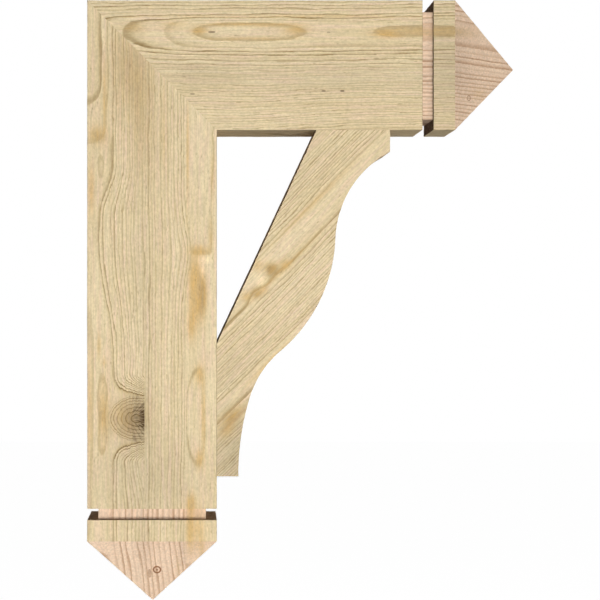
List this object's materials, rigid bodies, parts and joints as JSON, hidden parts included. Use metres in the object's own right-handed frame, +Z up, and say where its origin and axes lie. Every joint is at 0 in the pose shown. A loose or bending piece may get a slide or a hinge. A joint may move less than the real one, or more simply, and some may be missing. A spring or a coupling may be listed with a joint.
{
  "type": "timber corbel bracket",
  "caption": "Timber wall bracket: an upright post and a mitred top beam, each ending in a grooved band and a pyramid point, with a curved brace in the inner corner.",
  "frame": {"origin": "on the back face of the upright post, the face that goes against the wall, half-way across it and half-way down its plain length, which runs 298.45 mm up to the bracket's top face and 298.45 mm down to the groove", "axes": "+X straight out from the wall, along the top beam; +Z up, along the upright post; +Y across the bracket"},
  "size_m": [0.508, 0.1524, 0.7112],
  "materials": {
    "post_wood": "unfinished rough-sawn pale softwood with fine straight vertical grain",
    "beam_wood": "unfinished rough-sawn pale softwood with fine straight grain along the beam",
    "brace_wood": "unfinished rough-sawn pale softwood with slanting grain along the brace"
  },
  "bodies": {
    "root": {"upright_post": "post_wood", "top_beam": "beam_wood", "curved_brace": "brace_wood"}
  },
  "joints": []
}
